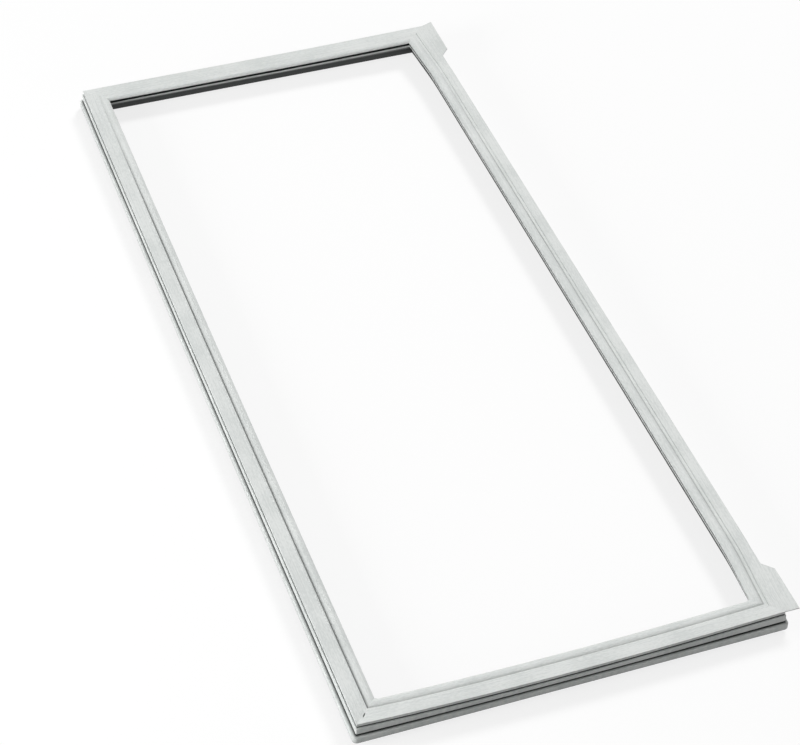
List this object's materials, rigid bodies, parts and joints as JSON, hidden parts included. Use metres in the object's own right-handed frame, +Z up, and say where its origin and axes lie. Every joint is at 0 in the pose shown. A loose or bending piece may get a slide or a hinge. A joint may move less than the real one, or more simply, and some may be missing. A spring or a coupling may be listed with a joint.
{
  "type": "refrigerator door gasket",
  "caption": "Rectangular magnetic door gasket: soft hollow extrusion with flat sealing face, inner lip, bellows, push-in dart below, and a thin fin with corner ears on the hinge side.",
  "frame": {"origin": "centre of the overall outline in plan, level with the tip of the dart that the gasket lies on", "axes": "+Z up, out of the sealing face; +Y along the long sides, towards the top of the door; +X towards the hinge side with the ears"},
  "size_m": [0.486, 1.112, 0.028],
  "materials": {
    "soft_pvc": "smooth satin, light cool grey",
    "magnet_rubber": "matt dark brown"
  },
  "bodies": {
    "root": {"gasket_frame": "soft_pvc", "magnet_strip_hinge": "magnet_rubber", "magnet_strip_latch": "magnet_rubber", "magnet_strip_top": "magnet_rubber", "magnet_strip_bottom": "magnet_rubber"}
  },
  "joints": []
}
